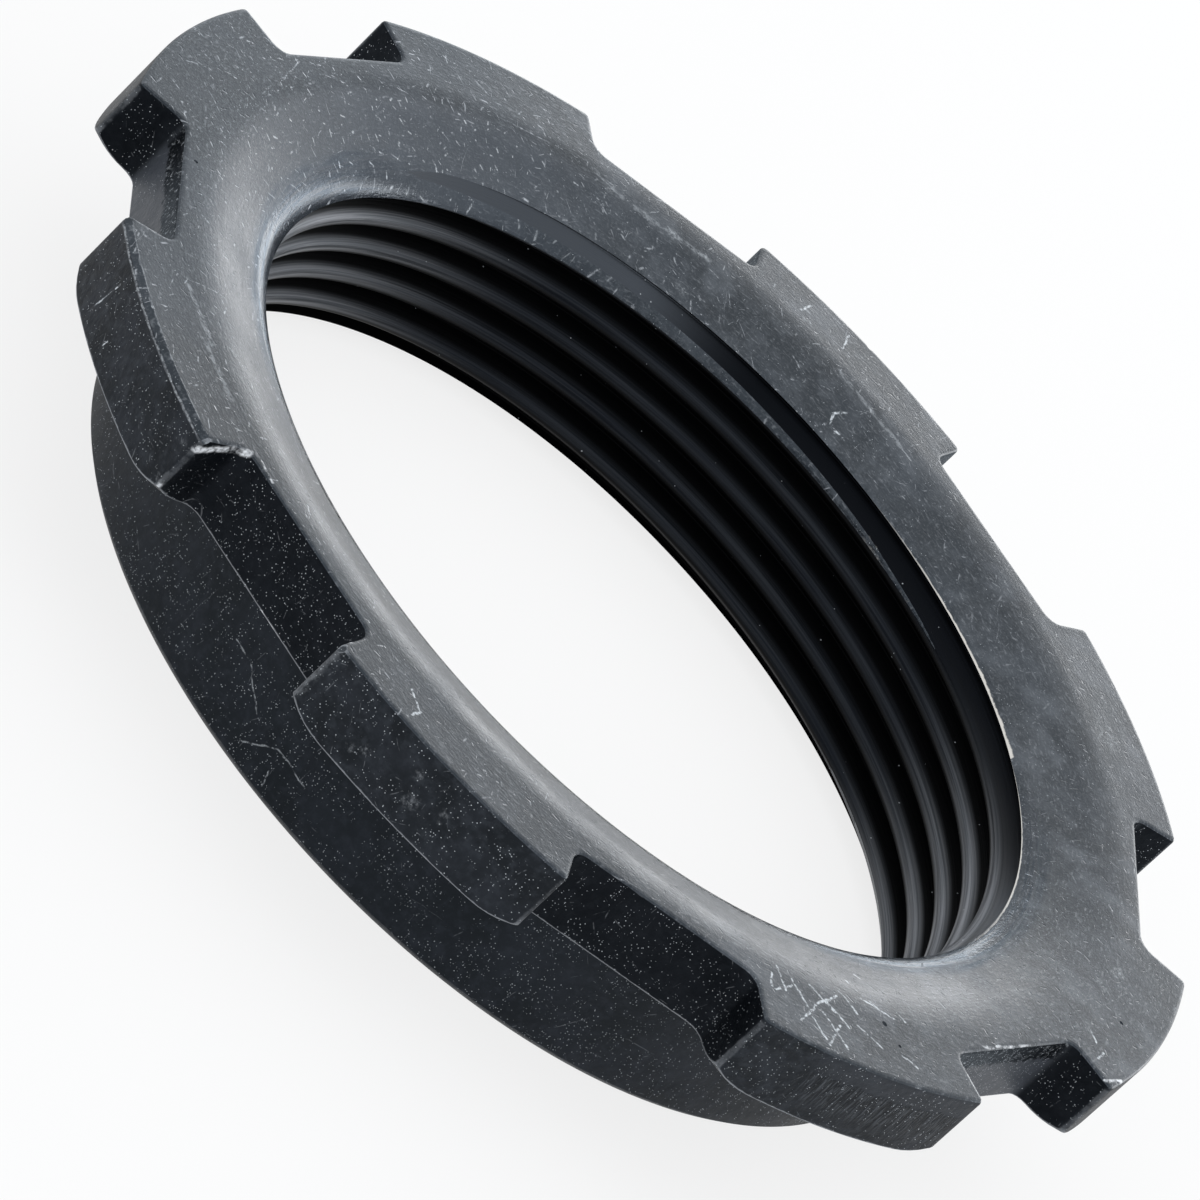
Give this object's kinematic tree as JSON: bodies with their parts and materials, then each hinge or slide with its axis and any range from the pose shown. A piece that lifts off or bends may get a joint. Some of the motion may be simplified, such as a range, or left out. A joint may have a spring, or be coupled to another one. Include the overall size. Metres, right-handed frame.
{
  "type": "spring preload ring",
  "caption": "Dark steel ring with a notched flange, a short collar and a threaded bore, turned with a hook spanner to set a coil spring's preload.",
  "frame": {"origin": "on the bore axis, level with the collar's lowest edge, the circle that the ring stands on", "axes": "+Z along the bore towards the lugged face, +X through the middle of a spanner slot"},
  "size_m": [0.0652, 0.0652, 0.0123],
  "materials": {
    "black_steel": "black oxide on steel, satin, scratched and worn bright along its edges"
  },
  "bodies": {
    "root": {"preload_ring": "black_steel"}
  },
  "joints": []
}
